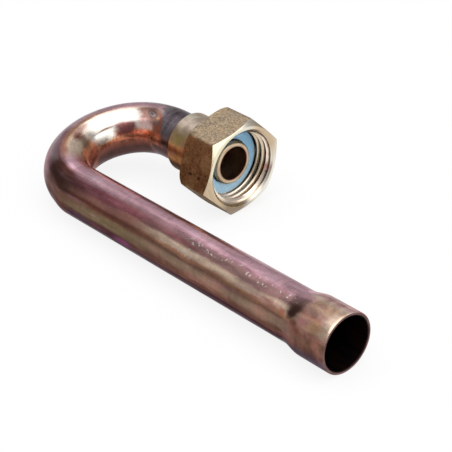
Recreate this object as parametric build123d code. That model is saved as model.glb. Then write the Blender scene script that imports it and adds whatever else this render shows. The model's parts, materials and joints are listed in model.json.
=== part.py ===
from build123d import *
import math
import os

# Return bend: a copper tube bent through a half turn. Its long leg ends in a swaged bell,
# and its short leg is brazed into a brass tail piece, on which a hexagonal nut swivels.
#
# Millimetres. Each piece is drawn in the frame of the bend: the long leg's axis runs along
# +X from the start of the bend at x = 0, the short leg's axis is parallel to it at
# y = leg_spacing, and Z is square to the plane of the two axes. The finished pieces are
# then turned and moved together, to lie as the real part does on a flat surface.

# Copper tube
tube_od = 14.0
tube_wall = 1.0
leg_spacing = 33.6
long_leg = 99.0
short_leg = 6.6

# The tube's section grows oval in the bend: it loses this much of its radius in the plane
# of the bend and gains this much across it, and its centre moves towards the inside.
bend_flattening = 0.45
bend_bulge = 0.30
bend_shift = 0.15
bend_run_in = 16.0

# Bell, the swaged end that takes another tube of the same diameter
bell_clearance = 0.05
bell_wall = 0.9
bell_length = 9.7
bell_taper = 5.6
bell_mouth_bevel = 0.25

# Pipe thread of the union, nominal half inch
thread_major_d = 20.955
thread_pitch = 1.814
thread_depth_ratio = 0.640327

# Brass tail piece
collar_od = 16.8
collar_length = 12.3
socket_depth = 10.5
flange_thickness = 2.0
flange_clearance = 0.1
spigot_od = 12.0
spigot_length = 3.5
water_bore_d = 9.5
tail_edge_break = 0.35

# Filler metal between the tube and the socket
braze_gap = 0.1
braze_fillet = 0.6

# Fibre washer
washer_od = 18.5
washer_thickness = 1.7
washer_clearance = 0.35

# Union nut
nut_across_flats = 24.0
nut_length = 11.5
nut_lip = 1.8
nut_side_clearance = 0.3
nut_end_play = 0.3
nut_face_d = 23.5
nut_face_angle = 30.0
nut_rear_round = 1.8
nut_corner_round = 0.5
nut_mouth_d = 22.0
nut_relief_d = 21.3
nut_relief_beyond_washer = 0.5
nut_turn = 124.8

# Steps of the curves that are made of short straight stretches
run_in_steps = 4
bore_steps = 18
rear_round_steps = 3

# Steps of the search for the surface that the part lies on
search_step = 2
search_rounds = 40

# Derived radii
tube_radius = tube_od / 2
bend_radius = leg_spacing / 2
bell_bore_radius = tube_radius + bell_clearance
bell_radius = bell_bore_radius + bell_wall
collar_radius = collar_od / 2
socket_radius = tube_radius + braze_gap
thread_minor_d = thread_major_d - 2 * thread_depth_ratio * thread_pitch
flange_radius = thread_minor_d / 2 - flange_clearance

# Derived stations along the axes of the legs
bell_x = long_leg - bell_length
collar_x = short_leg
socket_floor_x = collar_x + socket_depth
flange_x = collar_x + collar_length
washer_x = flange_x + flange_thickness
washer_face_x = washer_x + washer_thickness
spigot_end_x = washer_x + spigot_length
nut_lip_face_x = flange_x - nut_end_play
nut_rear_x = nut_lip_face_x - nut_lip
nut_front_x = nut_rear_x + nut_length
thread_start_x = washer_face_x + nut_relief_beyond_washer

long_axis = Axis((0, 0, 0), (1, 0, 0))
short_axis = Axis((0, leg_spacing, 0), (1, 0, 0))
bend_axis = Axis((0, bend_radius, 0), (0, 0, -1))


def turned(points, axis):
    """Solid turned about an axis along X from corners given as (x, radius)."""
    offset = axis.position.Y
    outline = Polyline([(x, offset + radius) for x, radius in points], close=True)
    return revolve(make_face(outline), axis)


def smooth_share(turn):
    """How far the section has grown oval after a turn: 0 in the legs, 1 in the bend."""
    share = min(turn, 180 - turn) / bend_run_in
    share = max(0.0, min(1.0, share))
    return share * share * (3 - 2 * share)


def bend_sizes(turn):
    """Half width across the bend, half width in its plane, and bend radius after a turn."""
    share = smooth_share(turn)
    across = tube_radius + bend_bulge * share
    inward = tube_radius - bend_flattening * share
    radius = bend_radius - bend_shift * share
    return across, inward, radius


def bend_section(turn, inset):
    """Face across the tube after a turn, this far inside its outer surface."""
    across, inward, radius = bend_sizes(turn)
    sine = math.sin(math.radians(turn))
    cosine = math.cos(math.radians(turn))
    plane = Plane(
        origin=(-radius * sine, bend_radius - radius * cosine, 0),
        x_dir=(0, 0, 1),
        z_dir=(-cosine, sine, 0),
    )
    return plane * Ellipse(across - inset, inward - inset)


def bend_outside():
    """Half turn of the tube: an oval arc with a run-in from the round leg at each end."""
    turns = [bend_run_in * step / run_in_steps for step in range(run_in_steps + 1)]
    entry = loft([bend_section(turn, 0) for turn in turns], ruled=True)
    leave = loft([bend_section(180 - turn, 0) for turn in reversed(turns)], ruled=True)
    middle = revolve(bend_section(bend_run_in, 0), bend_axis, 180 - 2 * bend_run_in)
    return entry + middle + leave


def bend_bore():
    """Water way of the half turn, in short straight stretches, as nothing touches its wall."""
    turns = [180 * step / bore_steps for step in range(bore_steps + 1)]
    return loft([bend_section(turn, tube_wall) for turn in turns], ruled=True)


def leg_solid(leg_radius, mouth_radius):
    """Long leg with its bell, as a solid bar of the given radii."""
    taper_x = bell_x - bell_taper
    flank = Spline(
        [(taper_x, leg_radius), (bell_x, mouth_radius)],
        tangents=[(1, 0), (1, 0)],
    )
    outline = flank + Polyline(
        (bell_x, mouth_radius), (long_leg, mouth_radius), (long_leg, 0), (0, 0),
        (0, leg_radius), (taper_x, leg_radius),
    )
    return revolve(make_face(outline), long_axis)


def copper_tube():
    bore = tube_radius - tube_wall
    end_x = socket_floor_x
    outside = leg_solid(tube_radius, bell_radius)
    outside += bend_outside()
    outside += turned([(0, 0), (0, tube_radius), (end_x, tube_radius), (end_x, 0)], short_axis)
    rim = outside.edges().filter_by(GeomType.CIRCLE).sort_by(Axis.X)[-1]
    outside = chamfer(rim, bell_mouth_bevel)
    inside = leg_solid(bore, bell_bore_radius)
    inside += bend_bore()
    inside += turned([(0, 0), (0, bore), (end_x, bore), (end_x, 0)], short_axis)
    return outside - inside


def tail_piece():
    """Turned brass tail: socket, collar, flange and spigot round one water bore."""
    bore = water_bore_d / 2
    spigot = spigot_od / 2
    edge = tail_edge_break
    return turned(
        [
            (collar_x, socket_radius),
            (collar_x, collar_radius - edge),
            (collar_x + edge, collar_radius),
            (flange_x, collar_radius),
            (flange_x, flange_radius),
            (washer_x, flange_radius),
            (washer_x, spigot),
            (spigot_end_x - edge, spigot),
            (spigot_end_x, spigot - edge),
            (spigot_end_x, bore),
            (socket_floor_x, bore),
            (socket_floor_x, socket_radius),
        ],
        short_axis,
    )


def braze_joint():
    """Film of filler in the socket, with a small fillet at the socket's rim."""
    return turned(
        [
            (collar_x - braze_fillet, tube_radius),
            (collar_x, tube_radius + braze_fillet),
            (collar_x, socket_radius),
            (socket_floor_x, socket_radius),
            (socket_floor_x, tube_radius),
        ],
        short_axis,
    )


def sealing_washer():
    bore = spigot_od / 2 + washer_clearance
    outer = washer_od / 2
    return turned(
        [(washer_x, bore), (washer_x, outer), (washer_face_x, outer), (washer_face_x, bore)],
        short_axis,
    )


def union_nut():
    """Hexagon with a machined face, a lip behind the flange and a bore for the thread."""
    corner_radius = nut_across_flats / math.sqrt(3)
    hexagon_plane = Plane(origin=(nut_rear_x, leg_spacing, 0), x_dir=(0, 1, 0), z_dir=(1, 0, 0))
    hexagon = Rot(0, 0, nut_turn) * RegularPolygon(corner_radius, 6)
    hexagon = fillet(hexagon.vertices(), nut_corner_round)
    blank = extrude(hexagon_plane * hexagon, nut_length)

    face_radius = nut_face_d / 2
    rear_turns = [90 * step / rear_round_steps for step in range(rear_round_steps + 1)]
    rear_edge = [
        (
            nut_rear_x + nut_rear_round * (1 - math.cos(math.radians(turn))),
            corner_radius - nut_rear_round * (1 - math.sin(math.radians(turn))),
        )
        for turn in rear_turns
    ]
    front_drop = (corner_radius - face_radius) * math.tan(math.radians(nut_face_angle))
    envelope = turned(
        [
            (nut_rear_x, 0),
            *rear_edge,
            (nut_front_x - front_drop, corner_radius),
            (nut_front_x, face_radius),
            (nut_front_x, 0),
        ],
        short_axis,
    )

    lip_bore = collar_radius + nut_side_clearance
    minor = thread_minor_d / 2
    mouth = nut_mouth_d / 2
    mouth_depth = mouth - minor
    opening = turned(
        [
            (nut_rear_x, 0),
            (nut_rear_x, lip_bore),
            (nut_lip_face_x, lip_bore),
            (nut_lip_face_x, nut_relief_d / 2),
            (thread_start_x, nut_relief_d / 2),
            (thread_start_x, minor),
            (nut_front_x - mouth_depth, minor),
            (nut_front_x, mouth),
            (nut_front_x, 0),
        ],
        short_axis,
    )
    return (blank & envelope) - opening


def nut_rest_corner():
    """Lowest corner of the hexagon, as its distances from the short axis along Y and Z."""
    flat_half = nut_across_flats / 2
    round_centre = (flat_half - nut_corner_round) / math.cos(math.radians(30))
    angles = [nut_turn + 60 * step for step in range(6)]
    lowest = min(angles, key=lambda angle: math.sin(math.radians(angle)))
    centre_y = round_centre * math.cos(math.radians(lowest))
    centre_z = round_centre * math.sin(math.radians(lowest))
    return centre_y, centre_z


def bend_lowest(turn, up):
    """Height of the lowest point of the tube's section after a turn of the bend."""
    across, inward, radius = bend_sizes(turn)
    sine = math.sin(math.radians(turn))
    cosine = math.cos(math.radians(turn))
    centre = up.Y * (bend_radius - radius * cosine) - up.X * radius * sine
    outward = up.X * sine + up.Y * cosine
    return centre - math.hypot(across * up.Z, inward * outward)


def upward():
    """Unit vector, in the frame of the bend, square to the surface that the part lies on.

    The part lies on three places: the bell, the start of the bend and one corner of the
    nut. The two slopes are found by turns until all three are level.
    """
    corner_y, corner_z = nut_rest_corner()
    corner_x = nut_rear_x + nut_rear_round
    up = Vector(0, 0, 1)
    for _ in range(search_rounds):
        bend_height = min(bend_lowest(turn, up) for turn in range(0, 90, search_step))
        bell_height = -bell_radius * math.hypot(up.Y, up.Z)
        rise_x = (bend_height - bell_height) / bell_x
        nut_height = rise_x * corner_x + up.Z * corner_z - nut_corner_round
        rise_y = (bend_height - nut_height) / (leg_spacing + corner_y)
        up = Vector(rise_x, rise_y, math.sqrt(1 - rise_x**2 - rise_y**2))
    return up


def laid_down(pieces):
    """The pieces turned to lie on the surface z = 0, under the middle of their box."""
    up = upward()
    along = Vector(1, 0, 0) - up * up.X
    rest = Plane(origin=(0, 0, 0), x_dir=along, z_dir=up)
    lying = {name: rest.to_local_coords(piece) for name, piece in pieces.items()}
    boxes = [piece.bounding_box() for piece in lying.values()]
    middle_x = (min(box.min.X for box in boxes) + max(box.max.X for box in boxes)) / 2
    middle_y = (min(box.min.Y for box in boxes) + max(box.max.Y for box in boxes)) / 2
    lowest_z = min(box.min.Z for box in boxes)
    shift = Pos(-middle_x, -middle_y, -lowest_z)
    return {name: shift * piece for name, piece in lying.items()}


def main():
    pieces = {
        "copper_tube": copper_tube(),
        "tail_piece": tail_piece(),
        "braze_joint": braze_joint(),
        "sealing_washer": sealing_washer(),
        "union_nut": union_nut(),
    }
    os.makedirs("parts", exist_ok=True)
    for name, piece in laid_down(pieces).items():
        export_step(piece, f"parts/{name}.step")


main()
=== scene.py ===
import json
import math

import bpy
import numpy as np
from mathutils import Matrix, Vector

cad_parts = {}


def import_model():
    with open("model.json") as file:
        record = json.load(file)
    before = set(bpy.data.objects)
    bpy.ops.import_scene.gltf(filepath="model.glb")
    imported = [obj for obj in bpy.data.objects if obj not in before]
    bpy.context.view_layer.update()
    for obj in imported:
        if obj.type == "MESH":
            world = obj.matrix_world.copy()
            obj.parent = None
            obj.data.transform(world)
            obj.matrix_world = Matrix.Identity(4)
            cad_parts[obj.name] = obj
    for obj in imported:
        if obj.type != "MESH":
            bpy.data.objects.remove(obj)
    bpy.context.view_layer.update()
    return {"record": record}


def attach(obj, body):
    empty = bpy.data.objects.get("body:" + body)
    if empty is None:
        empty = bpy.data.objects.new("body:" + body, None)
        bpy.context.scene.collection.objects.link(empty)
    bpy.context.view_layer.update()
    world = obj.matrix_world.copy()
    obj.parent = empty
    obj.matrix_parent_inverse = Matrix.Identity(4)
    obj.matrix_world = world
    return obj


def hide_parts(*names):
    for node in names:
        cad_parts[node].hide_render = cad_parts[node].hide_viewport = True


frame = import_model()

# Return bend: a tarnished copper tube bent through a half turn, with a swaged bell on its
# long leg and a brass union with a swivelling hexagonal nut brazed on its short leg.
#
# Metres. Each skin is drawn in the frame of the bend: X runs along the long leg from the
# start of the bend to the bell, Y points from the long leg to the short leg, and Z is square
# to both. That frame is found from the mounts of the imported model.

MM = 0.001


def mount(name):
    return next(item for item in frame["record"]["mounts"] if item["name"] == name)


# Sizes of the copper tube
TUBE_RADIUS = 7.0 * MM
TUBE_WALL = 1.0 * MM
LONG_LEG = 99.0 * MM
SHORT_LEG = 6.6 * MM
BEND_FLATTENING = 0.45 * MM
BEND_BULGE = 0.30 * MM
BEND_SHIFT = 0.15 * MM
BEND_RUN_IN = 16.0
BELL_BORE = mount("bell_socket")["dims"]["r_mm"] * MM
BELL_LENGTH = mount("bell_socket")["dims"]["length_mm"] * MM
BELL_WALL = 0.9 * MM
BELL_TAPER = 5.6 * MM
BELL_BEVEL = 0.25 * MM
BELL_GROWTH = BELL_BORE + BELL_WALL - TUBE_RADIUS

# Sizes of the tail piece, the braze and the washer
COLLAR_RADIUS = 8.4 * MM
COLLAR_LENGTH = 12.3 * MM
SOCKET_DEPTH = 10.5 * MM
SOCKET_RADIUS = 7.1 * MM
FLANGE_THICKNESS = 2.0 * MM
FLANGE_CLEARANCE = 0.1 * MM
SPIGOT_RADIUS = 6.0 * MM
SPIGOT_LENGTH = 3.5 * MM
WATER_BORE = 4.75 * MM
TAIL_EDGE = 0.35 * MM
TAIL_ROUND = 0.12 * MM
BRAZE_FILLET = 0.6 * MM
WASHER_BORE = 6.35 * MM
WASHER_RADIUS = 9.25 * MM
WASHER_THICKNESS = 1.7 * MM
WASHER_EDGE = 0.12 * MM

# Sizes of the union nut and its thread, which has the Whitworth form
THREAD_MINOR = mount("nut_thread")["dims"]["r_mm"] * MM
THREAD_PITCH = 1.814 * MM
THREAD_FLANK = math.radians(27.5)
THREAD_ROUND = 0.137329 * THREAD_PITCH
THREAD_DEPTH = 0.640327 * THREAD_PITCH
THREAD_CREST_GAP = 1.0 * MM
THREAD_START_SLOPE = 4.0
FLANGE_RADIUS = THREAD_MINOR - FLANGE_CLEARANCE
NUT_FLAT = 12.0 * MM
NUT_LENGTH = 11.5 * MM
NUT_LIP = 1.8 * MM
NUT_LIP_BORE = 8.7 * MM
NUT_LIP_BREAK = 0.1 * MM
NUT_END_PLAY = 0.3 * MM
NUT_FACE = 11.75 * MM
NUT_FACE_ANGLE = math.radians(30)
NUT_REAR_ROUND = 1.8 * MM
NUT_CORNER_ROUND = 0.5 * MM
NUT_MOUTH = 11.0 * MM
NUT_RELIEF = 10.65 * MM
NUT_TURN = math.radians(124.8)
NUT_SIDE_TURN = math.pi / 3
NUT_CORNER_CENTRE = (NUT_FLAT - NUT_CORNER_ROUND) / math.cos(NUT_SIDE_TURN / 2)

# Stations along the short leg's axis
SOCKET_FLOOR_X = SHORT_LEG + SOCKET_DEPTH
FLANGE_X = SHORT_LEG + COLLAR_LENGTH
WASHER_X = FLANGE_X + FLANGE_THICKNESS
WASHER_FACE_X = WASHER_X + WASHER_THICKNESS
SPIGOT_END_X = WASHER_X + SPIGOT_LENGTH
NUT_LIP_FACE_X = FLANGE_X - NUT_END_PLAY
NUT_REAR_X = NUT_LIP_FACE_X - NUT_LIP
NUT_FRONT_X = NUT_REAR_X + NUT_LENGTH
THREAD_START_X = WASHER_X
THREAD_CREST_X = WASHER_FACE_X + THREAD_CREST_GAP
BELL_X = LONG_LEG - BELL_LENGTH

# Fineness of the skins: points round an axis, and steps along it
TUBE_AROUND = 128
TURNED_AROUND = 256
NUT_AROUND = 384
SHORT_LEG_STEPS = 24
BEND_STEPS = 150
LONG_LEG_STEPS = 84
TAPER_STEPS = 18
BELL_STEPS = 16
BEVEL_STEPS = 4
INNER_BELL_STEPS = 8
INNER_TAPER_STEPS = 12
INNER_LONG_LEG_STEPS = 24
INNER_BEND_STEPS = 60
INNER_SHORT_LEG_RINGS = 8
CORNER_STEPS = 3
FILLET_STEPS = 8
REAR_ROUND_STEPS = 8
SIDE_STEPS = 15
CHAMFER_STEPS = 4
THREAD_STEPS = 120
TAIL_LONGEST_STEP = 0.8 * MM
WASHER_LONGEST_STEP = 0.5 * MM
SHARP_ANGLE = math.radians(40)

# The rounding of a corner takes up at most an edge's length divided by this
EDGE_PARTS = 2.2


def bend_frame():
    """Origin, distance between the legs and axes of the bend, from the mounts on each leg."""
    bell, thread = mount("bell_socket"), mount("nut_thread")
    along = np.array(bell["axis"])
    along /= np.linalg.norm(along)
    origin = np.array(bell["pos_m"]) - along * (LONG_LEG - BELL_LENGTH / 2)
    apart = np.array(thread["pos_m"]) - origin
    apart -= along * (apart @ along)
    spacing = float(np.linalg.norm(apart))
    apart /= spacing
    return origin, spacing, np.array([along, apart, np.cross(along, apart)])


ORIGIN, LEG_SPACING, AXES = bend_frame()
BEND_RADIUS = LEG_SPACING / 2


def in_part_frame(points):
    """Points given in the frame of the bend, in the frame of the whole part."""
    return ORIGIN + np.asarray(points) @ AXES


# Skins

def ring_skin(name, rings, places, zones, materials):
    """Closed skin over rings of points, where the last ring joins the first.

    places holds, for each point, the coordinates that the materials read. zones holds the
    material number of the band of faces that starts at each ring.
    """
    rings = np.asarray(rings)
    count, around = rings.shape[:2]
    first = np.arange(count * around).reshape(count, around)
    next_ring = np.roll(first, -1, axis=0)
    faces = np.stack(
        [first, np.roll(first, -1, axis=1), np.roll(next_ring, -1, axis=1), next_ring], axis=-1
    ).reshape(-1, 4)
    mesh = bpy.data.meshes.new(name)
    mesh.from_pydata(in_part_frame(rings.reshape(-1, 3)).tolist(), [], faces.tolist())
    mesh.polygons.foreach_set("material_index", np.repeat(zones, around).astype(np.int32))
    attribute = mesh.attributes.new("place", "FLOAT_VECTOR", "POINT")
    attribute.data.foreach_set("vector", np.asarray(places, np.float32).ravel())
    mesh.polygons.foreach_set("use_smooth", np.ones(len(faces), bool))
    mesh.update()
    mesh.set_sharp_from_angle(angle=SHARP_ANGLE)
    skin = bpy.data.objects.new(name, mesh)
    bpy.context.scene.collection.objects.link(skin)
    for material in materials:
        mesh.materials.append(material)
    return skin


def stretch(start, end, steps):
    """Evenly spaced values from start up to, but without, end."""
    return np.linspace(start, end, steps, endpoint=False)


def smooth(share):
    share = np.clip(share, 0.0, 1.0)
    return share * share * (3 - 2 * share)


def arc(centre, radius, start, end, steps):
    """Points (x, r) on an arc, from the angle start to the angle end in degrees."""
    turns = np.radians(np.linspace(start, end, steps + 1))
    return [(centre[0] + radius * math.cos(t), centre[1] + radius * math.sin(t)) for t in turns]


def closed_line(points, longest):
    """Points (x, r) along a closed outline, with no step longer than this."""
    out = []
    for (x0, r0), (x1, r1) in zip(points, points[1:] + points[:1]):
        steps = max(1, math.ceil(math.hypot(x1 - x0, r1 - r0) / longest))
        for step in range(steps):
            share = step / steps
            out.append((x0 + (x1 - x0) * share, r0 + (r1 - r0) * share))
    return out


def rounded(points, radius):
    """A closed outline of points (x, r), with each corner rounded by up to this radius."""
    out = []
    count = len(points)
    for number, corner in enumerate(points):
        corner = np.array(corner)
        before = np.array(points[number - 1]) - corner
        after = np.array(points[(number + 1) % count]) - corner
        before_length, after_length = np.linalg.norm(before), np.linalg.norm(after)
        reach = min(radius, before_length / EDGE_PARTS, after_length / EDGE_PARTS)
        start = corner + before / before_length * reach
        end = corner + after / after_length * reach
        for step in range(CORNER_STEPS + 1):
            share = step / CORNER_STEPS
            middle = 2 * share * (1 - share) * corner
            out.append(tuple((1 - share) ** 2 * start + middle + share**2 * end))
    return out


# Copper tube

OUTSIDE, LIP, INSIDE = 0, 1, 2


def bell_share(x):
    """0 on the long leg, rising to 1 over the taper before the bell."""
    return float(smooth((x - BELL_X + BELL_TAPER) / BELL_TAPER))


def tube_ring(kind, value, inset, grow):
    """The ring at an x on a leg or a turn on the bend, inset and grown, and its places."""
    turns = stretch(-math.pi, math.pi, TUBE_AROUND)
    across = inward = TUBE_RADIUS
    if kind == "bend":
        share = float(smooth(min(value, 180 - value) / BEND_RUN_IN))
        across += BEND_BULGE * share
        inward -= BEND_FLATTENING * share
        radius = BEND_RADIUS - BEND_SHIFT * share
        sine, cosine = math.sin(math.radians(value)), math.cos(math.radians(value))
        centre = np.array([-radius * sine, BEND_RADIUS - radius * cosine, 0])
        outward = np.array([-sine, -cosine, 0])
        distance = -BEND_RADIUS * math.radians(value)
    elif kind == "short":
        centre = np.array([value, LEG_SPACING, 0])
        outward = np.array([0, 1.0, 0])
        distance = -BEND_RADIUS * math.pi - value
    else:
        centre = np.array([value, 0, 0])
        outward = np.array([0, -1.0, 0])
        distance = value
    across += grow - inset
    inward += grow - inset
    cosines, sines = np.cos(turns), np.sin(turns)
    points = centre + np.outer(cosines * inward, outward) + np.outer(sines * across, (0, 0, 1))
    places = np.column_stack(
        [np.full(TUBE_AROUND, distance), cosines * TUBE_RADIUS, sines * TUBE_RADIUS]
    )
    return points, places


def outside_stations():
    """Stations (kind, value, inset, grow, zone) of the outside, from the short leg's end."""
    for x in stretch(SOCKET_FLOOR_X, 0, SHORT_LEG_STEPS):
        yield "short", x, 0, 0, OUTSIDE
    for turn in stretch(180, 0, BEND_STEPS):
        yield "bend", turn, 0, 0, OUTSIDE
    taper_x = BELL_X - BELL_TAPER
    for x in (
        *stretch(0, taper_x, LONG_LEG_STEPS),
        *stretch(taper_x, BELL_X, TAPER_STEPS),
        *stretch(BELL_X, LONG_LEG - BELL_BEVEL, BELL_STEPS),
    ):
        yield "long", x, 0, BELL_GROWTH * bell_share(x), OUTSIDE


def lip_stations():
    """Stations of the bell's end, with a bevel on both of its edges."""
    outer = arc((LONG_LEG - BELL_BEVEL, -BELL_BEVEL), BELL_BEVEL, 90, 0, BEVEL_STEPS)
    for x, drop in outer[:-1]:
        yield "long", x, 0, BELL_GROWTH + drop, OUTSIDE if drop > -BELL_BEVEL / 2 else LIP
    for share in (0.0, 0.35, 0.7):
        inset = BELL_BEVEL + (BELL_WALL - 2 * BELL_BEVEL) * share
        yield "long", LONG_LEG, inset, BELL_GROWTH, LIP
    for x, drop in arc((LONG_LEG - BELL_BEVEL, 0), BELL_BEVEL, 0, -90, BEVEL_STEPS):
        yield "long", x, BELL_WALL - BELL_BEVEL - drop, BELL_GROWTH, INSIDE


def inside_stations():
    """Stations of the tube's bore, from the bell back to the short leg's end."""
    for x in stretch(LONG_LEG - 2 * BELL_BEVEL, BELL_X, INNER_BELL_STEPS):
        yield "long", x, BELL_WALL, BELL_GROWTH, INSIDE
    for x in stretch(BELL_X, BELL_X - BELL_TAPER, INNER_TAPER_STEPS):
        share = bell_share(x)
        inset = TUBE_WALL + (BELL_WALL - TUBE_WALL) * share
        yield "long", x, inset, BELL_GROWTH * share, INSIDE
    for x in stretch(BELL_X - BELL_TAPER, 0, INNER_LONG_LEG_STEPS):
        yield "long", x, TUBE_WALL, 0, INSIDE
    for turn in stretch(0, 180, INNER_BEND_STEPS):
        yield "bend", turn, TUBE_WALL, 0, INSIDE
    for x in np.linspace(0, SOCKET_FLOOR_X, INNER_SHORT_LEG_RINGS):
        yield "short", x, TUBE_WALL, 0, INSIDE


def copper_tube(materials):
    stations = [*outside_stations(), *lip_stations(), *inside_stations()]
    rings, places = zip(*(tube_ring(*station) for *station, zone in stations))
    zones = [zone for *station, zone in stations]
    return ring_skin("copper_tube_skin", rings, np.concatenate(places), zones, materials)


# Turned pieces

def skin_round_axis(name, x, radius, zones, materials):
    """Skin round the short leg's axis. x and radius have a row for each of its rings."""
    turns = stretch(-math.pi, math.pi, radius.shape[1])
    cosines, sines = radius * np.cos(turns), radius * np.sin(turns)
    rings = np.stack([x, LEG_SPACING + cosines, sines], axis=-1)
    places = np.stack([x, cosines, sines], axis=-1).reshape(-1, 3)
    return ring_skin(name, rings, places, zones, materials)


def turned(name, outline, material):
    """Skin turned about the short leg's axis from a closed outline of points (x, r)."""
    x, radius = np.repeat(np.array(outline).T[:, :, np.newaxis], TURNED_AROUND, axis=2)
    return skin_round_axis(name, x, radius, np.zeros(len(outline)), [material])


def tail_piece(material):
    outline = rounded(
        [
            (SHORT_LEG, SOCKET_RADIUS),
            (SHORT_LEG, COLLAR_RADIUS - TAIL_EDGE),
            (SHORT_LEG + TAIL_EDGE, COLLAR_RADIUS),
            (FLANGE_X, COLLAR_RADIUS),
            (FLANGE_X, FLANGE_RADIUS),
            (WASHER_X, FLANGE_RADIUS),
            (WASHER_X, SPIGOT_RADIUS),
            (SPIGOT_END_X - TAIL_EDGE, SPIGOT_RADIUS),
            (SPIGOT_END_X, SPIGOT_RADIUS - TAIL_EDGE),
            (SPIGOT_END_X, WATER_BORE),
            (SOCKET_FLOOR_X, WATER_BORE),
            (SOCKET_FLOOR_X, SOCKET_RADIUS),
        ],
        TAIL_ROUND,
    )
    return turned("tail_piece_skin", closed_line(outline, TAIL_LONGEST_STEP), material)


def braze_joint(material):
    """Film in the socket, and a hollow fillet between the tube and the socket's rim."""
    corner = (SHORT_LEG - BRAZE_FILLET, TUBE_RADIUS + BRAZE_FILLET)
    hollow = arc(corner, BRAZE_FILLET, -90, 0, FILLET_STEPS)
    outline = hollow + [
        (SHORT_LEG, SOCKET_RADIUS),
        (SOCKET_FLOOR_X, SOCKET_RADIUS),
        (SOCKET_FLOOR_X, TUBE_RADIUS),
    ]
    return turned("braze_joint_skin", outline, material)


def sealing_washer(material):
    outline = rounded(
        [
            (WASHER_X, WASHER_BORE),
            (WASHER_X, WASHER_RADIUS),
            (WASHER_FACE_X, WASHER_RADIUS),
            (WASHER_FACE_X, WASHER_BORE),
        ],
        WASHER_EDGE,
    )
    return turned("sealing_washer_skin", closed_line(outline, WASHER_LONGEST_STEP), material)


# Union nut, drawn as one outline (x, r, zone) for each direction from its axis

PRESSED, MACHINED, THREADED = 0, 1, 2


def hexagon_radius(turn):
    """Distance from the axis to the nut's side in a direction, with rounded corners."""
    half = NUT_SIDE_TURN / 2
    from_corner = (turn - NUT_TURN + half) % NUT_SIDE_TURN - half
    round_half = math.atan2(
        NUT_CORNER_ROUND * math.sin(half),
        NUT_CORNER_CENTRE + NUT_CORNER_ROUND * math.cos(half),
    )
    if abs(from_corner) > round_half:
        return NUT_FLAT / math.cos(half - abs(from_corner))
    cosine, sine = math.cos(from_corner), math.sin(from_corner)
    across = math.sqrt(NUT_CORNER_ROUND**2 - (NUT_CORNER_CENTRE * sine) ** 2)
    return NUT_CORNER_CENTRE * cosine + across


def thread_radius(x, turn):
    """Radius of the internal thread, rounded at its crests and roots."""
    half = THREAD_PITCH / 2
    advance = THREAD_PITCH * turn / (2 * math.pi)
    from_crest = (x - THREAD_CREST_X - advance + half) % THREAD_PITCH - half
    reach = THREAD_ROUND * math.cos(THREAD_FLANK)
    shallow = min(abs(from_crest), half - abs(from_crest))
    if shallow < reach:
        depth = THREAD_ROUND - math.sqrt(THREAD_ROUND**2 - shallow**2)
    else:
        flank_start = THREAD_ROUND * (1 - math.sin(THREAD_FLANK))
        depth = flank_start + (shallow - reach) / math.tan(THREAD_FLANK)
    if abs(from_crest) > half / 2:
        depth = THREAD_DEPTH - depth
    return THREAD_MINOR + depth


def nut_rear(side):
    """The lip's edge, the rear face and its rounding, out to the nut's side."""
    inner = NUT_LIP_BORE + NUT_LIP_BREAK
    outer = NUT_CORNER_CENTRE + NUT_CORNER_ROUND - NUT_REAR_ROUND
    points = [(NUT_REAR_X + NUT_LIP_BREAK, NUT_LIP_BORE, MACHINED)]
    for share in (0.0, 0.5, 1.0):
        points.append((NUT_REAR_X, inner + (outer - inner) * share, MACHINED))
    last = math.asin(max(0.0, min(1.0, (side - outer) / NUT_REAR_ROUND)))
    for step in range(1, REAR_ROUND_STEPS + 1):
        angle = last * step / REAR_ROUND_STEPS
        x = NUT_REAR_X + NUT_REAR_ROUND * (1 - math.cos(angle))
        points.append((x, outer + NUT_REAR_ROUND * math.sin(angle), PRESSED))
    return points


def nut_side(start, side):
    """The nut's side from where its rear rounding ends, the cut corners and the front face."""
    end = NUT_FRONT_X - (side - NUT_FACE) * math.tan(NUT_FACE_ANGLE)
    points = []
    for step in range(1, SIDE_STEPS):
        points.append((start + (end - start) * step / SIDE_STEPS, side, PRESSED))
    points.append((end, side, MACHINED))
    for step in range(1, CHAMFER_STEPS + 1):
        share = step / CHAMFER_STEPS
        x = end + (NUT_FRONT_X - end) * share
        points.append((x, side + (NUT_FACE - side) * share, MACHINED))
    points.append((NUT_FRONT_X, (NUT_FACE + NUT_MOUTH) / 2, MACHINED))
    points.append((NUT_FRONT_X, NUT_MOUTH, MACHINED))
    return points


def nut_inside(turn):
    """The mouth, the thread, and the relief back to the lip."""
    points = []
    mouth_end = NUT_FRONT_X - (NUT_MOUTH - THREAD_MINOR)
    for x in np.linspace(NUT_FRONT_X, THREAD_START_X, THREAD_STEPS + 1)[1:]:
        mouth = THREAD_MINOR + max(0.0, x - mouth_end)
        start = NUT_RELIEF - (x - THREAD_START_X) * THREAD_START_SLOPE
        zone = MACHINED if x > mouth_end + THREAD_DEPTH else THREADED
        points.append((x, max(thread_radius(x, turn), mouth, start), zone))
    for share in (0.0, 0.5, 1.0):
        x = THREAD_START_X - (THREAD_START_X - NUT_LIP_FACE_X) * share
        points.append((x, NUT_RELIEF, MACHINED))
    points.append((NUT_LIP_FACE_X, NUT_LIP_BORE, MACHINED))
    return points


def nut_outline(turn):
    side = hexagon_radius(turn)
    rear = nut_rear(side)
    return rear + nut_side(rear[-1][0], side) + nut_inside(turn)


def union_nut(materials):
    turns = stretch(-math.pi, math.pi, NUT_AROUND)
    x, radius, zones = np.array([nut_outline(turn) for turn in turns]).transpose(2, 1, 0)
    return skin_round_axis("union_nut_skin", x, radius, zones[:, 0], materials)


# Materials

# How fast the fine lines on turned brass change in a degree round the axis
LINE_DRIFT = 0.004

# The share of a scattered mark's reach that has its full strength
DOT_CORE = 0.55


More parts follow.
